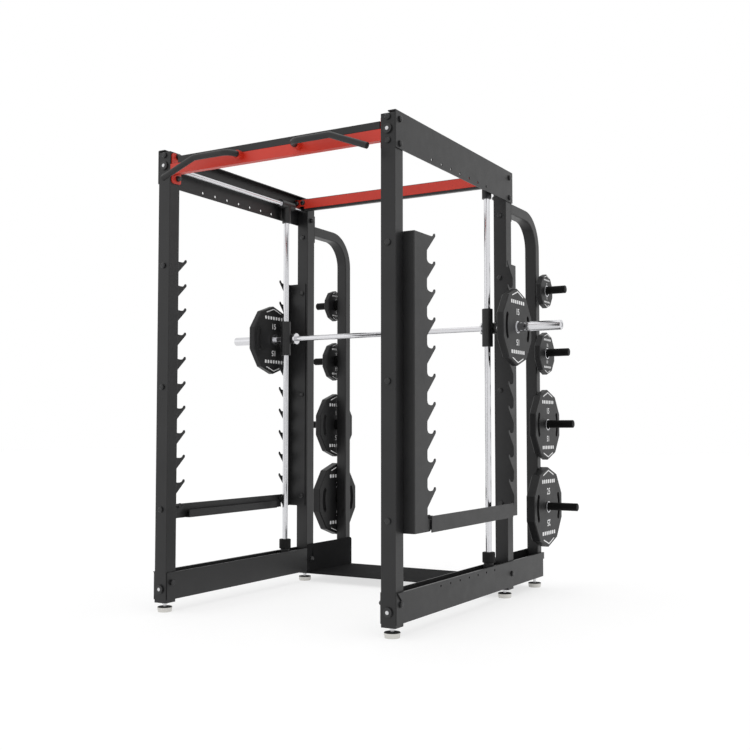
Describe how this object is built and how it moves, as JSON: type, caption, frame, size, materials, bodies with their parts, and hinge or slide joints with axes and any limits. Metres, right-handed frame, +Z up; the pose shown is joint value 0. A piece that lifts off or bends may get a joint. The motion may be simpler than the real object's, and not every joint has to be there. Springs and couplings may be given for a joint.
{
  "type": "smith machine",
  "caption": "Free-standing smith machine: square-post cage with hooked racks, a bar guided up and down and fore and aft, pull-up handles, safety bars and plate storage.",
  "frame": {"origin": "on the floor under the middle of the whole footprint", "axes": "+X to the lifter's right seen from the front of the machine, -Y toward the open front with the pull-up handles, +Z up"},
  "size_m": [1.984, 1.9244, 2.2],
  "materials": {
    "black_powder": "satin powder coat",
    "red_powder": "satin powder coat",
    "black_plastic": "matte",
    "chrome": "polished",
    "bolt_steel": "zinc plated",
    "black_steel": "black oxide",
    "pale_plastic": "matte",
    "bumper_rubber": "matte",
    "plate_iron": "black enamel"
  },
  "bodies": {
    "frame": {"post_front_left": "black_powder", "post_front_right": "black_powder", "post_rear_left": "black_powder", "post_rear_right": "black_powder", "post_caps": "black_plastic", "top_side_beam_left": "black_powder", "top_side_beam_right": "black_powder", "base_side_beam_left": "black_powder", "base_side_beam_right": "black_powder", "front_crossbeam_rail": "black_powder", "pullup_handle_left": "black_powder", "pullup_handle_right": "black_powder", "rear_crossbar": "black_powder", "rear_base_pan": "black_powder", "hook_rack_front_left": "black_powder", "hook_rack_front_right": "black_powder", "hook_rack_rear_left": "black_powder", "hook_rack_rear_right": "black_powder", "storage_upright_left": "black_powder", "storage_upright_right": "black_powder", "plate_horns_left": "black_powder", "plate_horns_right": "black_powder", "front_crossbeam": "red_powder", "rear_crossbar_facing": "red_powder", "guide_rails_top": "chrome", "guide_rails_base": "chrome", "rail_end_bolts": "bolt_steel", "foot_studs": "bolt_steel", "foot_discs": "bumper_rubber", "rail_washers": "black_steel", "bolts_racks": "black_steel", "bolts_side_beams": "black_steel", "bolts_rear": "black_steel", "foot_bases": "pale_plastic"},
    "trolley": {"top_carriage_left": "black_powder", "top_carriage_right": "black_powder", "base_carriage_left": "black_powder", "base_carriage_right": "black_powder", "guide_column_left": "chrome", "guide_column_right": "chrome", "column_bumpers": "bumper_rubber", "bushing_end_rings": "chrome"},
    "bar": {"bar_shaft": "chrome", "bar_collars": "chrome", "bearing_housing_left": "black_powder", "bearing_housing_right": "black_powder"},
    "sleeve_left": {"bar_sleeve_left": "chrome"},
    "bar_plate_left": {"bar_plate_left": "plate_iron"},
    "sleeve_right": {"bar_sleeve_right": "chrome"},
    "bar_plate_right": {"bar_plate_right": "plate_iron"},
    "stored_plate_1_left": {"stored_plate_1_left": "plate_iron"},
    "stored_plate_2_left": {"stored_plate_2_left": "plate_iron"},
    "stored_plate_3_left": {"stored_plate_3_left": "plate_iron"},
    "stored_plate_4_left": {"stored_plate_4_left": "plate_iron"},
    "stored_plate_1_right": {"stored_plate_1_right": "plate_iron"},
    "stored_plate_2_right": {"stored_plate_2_right": "plate_iron"},
    "stored_plate_3_right": {"stored_plate_3_right": "plate_iron"},
    "stored_plate_4_right": {"stored_plate_4_right": "plate_iron"},
    "safety_bar_left": {"safety_bar_left": "black_powder"},
    "safety_bar_right": {"safety_bar_right": "black_powder"}
  },
  "joints": [
    {"name": "trolley_travel", "type": "slide", "parent": "frame", "child": "trolley", "axis": [0, 1, 0], "range_m": [-0.829, 0.049]},
    {"name": "bar_lift", "type": "slide", "parent": "trolley", "child": "bar", "axis": [0, 0, 1], "range_m": [-0.7332, 0.5]},
    {"name": "sleeve_spin_left", "type": "hinge", "parent": "bar", "child": "sleeve_left", "pos_m": [-0.85, 0.1818, 1.367], "axis": [1, 0, 0], "continuous": true},
    {"name": "bar_plate_off_left", "type": "slide", "parent": "sleeve_left", "child": "bar_plate_left", "axis": [-1, 0, 0], "range_m": [0, 0.3]},
    {"name": "sleeve_spin_right", "type": "hinge", "parent": "bar", "child": "sleeve_right", "pos_m": [0.85, 0.1818, 1.367], "axis": [1, 0, 0], "continuous": true},
    {"name": "bar_plate_off_right", "type": "slide", "parent": "sleeve_right", "child": "bar_plate_right", "axis": [1, 0, 0], "range_m": [0, 0.3]},
    {"name": "stored_off_1_left", "type": "slide", "parent": "frame", "child": "stored_plate_1_left", "axis": [-1, 0, 0], "range_m": [0, 0.15]},
    {"name": "stored_off_2_left", "type": "slide", "parent": "frame", "child": "stored_plate_2_left", "axis": [-1, 0, 0], "range_m": [0, 0.17]},
    {"name": "stored_off_3_left", "type": "slide", "parent": "frame", "child": "stored_plate_3_left", "axis": [-1, 0, 0], "range_m": [0, 0.2]},
    {"name": "stored_off_4_left", "type": "slide", "parent": "frame", "child": "stored_plate_4_left", "axis": [-1, 0, 0], "range_m": [0, 0.23]},
    {"name": "stored_off_1_right", "type": "slide", "parent": "frame", "child": "stored_plate_1_right", "axis": [1, 0, 0], "range_m": [0, 0.15]},
    {"name": "stored_off_2_right", "type": "slide", "parent": "frame", "child": "stored_plate_2_right", "axis": [1, 0, 0], "range_m": [0, 0.17]},
    {"name": "stored_off_3_right", "type": "slide", "parent": "frame", "child": "stored_plate_3_right", "axis": [1, 0, 0], "range_m": [0, 0.2]},
    {"name": "stored_off_4_right", "type": "slide", "parent": "frame", "child": "stored_plate_4_right", "axis": [1, 0, 0], "range_m": [0, 0.23]},
    {"name": "safety_lift_left", "type": "slide", "parent": "frame", "child": "safety_bar_left", "axis": [0, 0, 1], "range_m": [0, 0.03]},
    {"name": "safety_lift_right", "type": "slide", "parent": "frame", "child": "safety_bar_right", "axis": [0, 0, 1], "range_m": [0, 0.03]}
  ]
}
